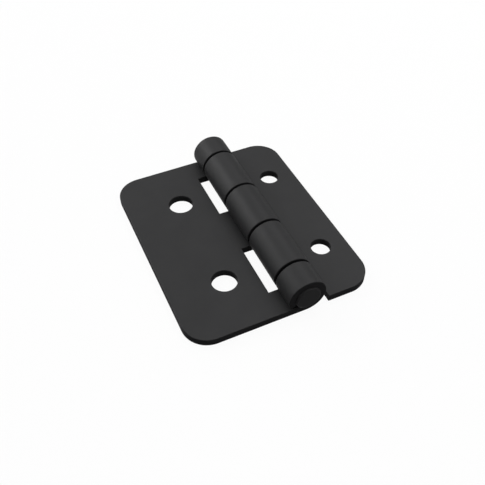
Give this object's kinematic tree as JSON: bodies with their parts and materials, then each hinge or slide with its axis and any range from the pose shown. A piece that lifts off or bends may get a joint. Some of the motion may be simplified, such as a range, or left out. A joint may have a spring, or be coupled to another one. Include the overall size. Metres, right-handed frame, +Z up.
{
  "type": "door hinge",
  "caption": "Black rolled-steel butt hinge: a wide and a narrow round-cornered leaf swing on a riveted pin, each with bolt holes of its own size.",
  "frame": {"origin": "on the plane of the leaves' backs, straight below the pin's axis, half way along the pin", "axes": "+Z up out of the leaves' front faces, Y along the pin, +X towards the narrow leaf; the hinge lies open and flat"},
  "size_m": [0.0519, 0.0646, 0.0105],
  "materials": {
    "leaf_coat": "even matte black powder coat with a very fine texture",
    "pin_black": "blackened steel, satin"
  },
  "bodies": {
    "wide_leaf_and_pin": {"wide_leaf": "leaf_coat", "hinge_pin": "pin_black"},
    "narrow_leaf": {"narrow_leaf": "leaf_coat"}
  },
  "joints": [
    {"name": "leaf_swing", "type": "hinge", "parent": "wide_leaf_and_pin", "child": "narrow_leaf", "pos_m": [0, 0, 0.00525], "axis": [0, -1, 0], "range_deg": [-100, 195]}
  ]
}
